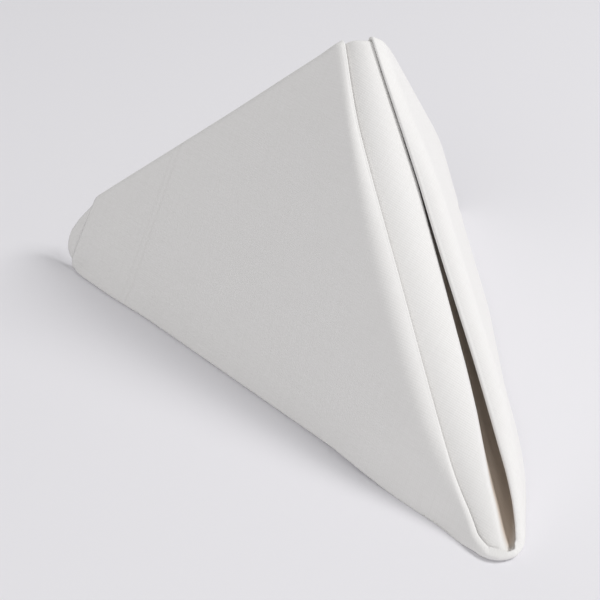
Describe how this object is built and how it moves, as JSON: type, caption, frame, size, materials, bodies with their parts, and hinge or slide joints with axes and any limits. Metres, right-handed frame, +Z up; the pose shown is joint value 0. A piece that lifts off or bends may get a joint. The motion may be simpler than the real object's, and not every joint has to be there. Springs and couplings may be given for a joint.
{
  "type": "folded cloth napkin",
  "caption": "Square woven cloth napkin folded into a standing pyramid, open at the back, with the rolled seam of its flaps down the front ridge.",
  "frame": {"origin": "bottom centre of the bounding box, on the table", "axes": "+Z up, the folded front ridge and its seam face -Y, the open side of the tent faces +Y, X across the two side tips"},
  "size_m": [0.2096, 0.2412, 0.1305],
  "materials": {
    "cloth": "matt plain weave, off-white"
  },
  "bodies": {
    "root": {"napkin": "cloth"}
  },
  "joints": []
}
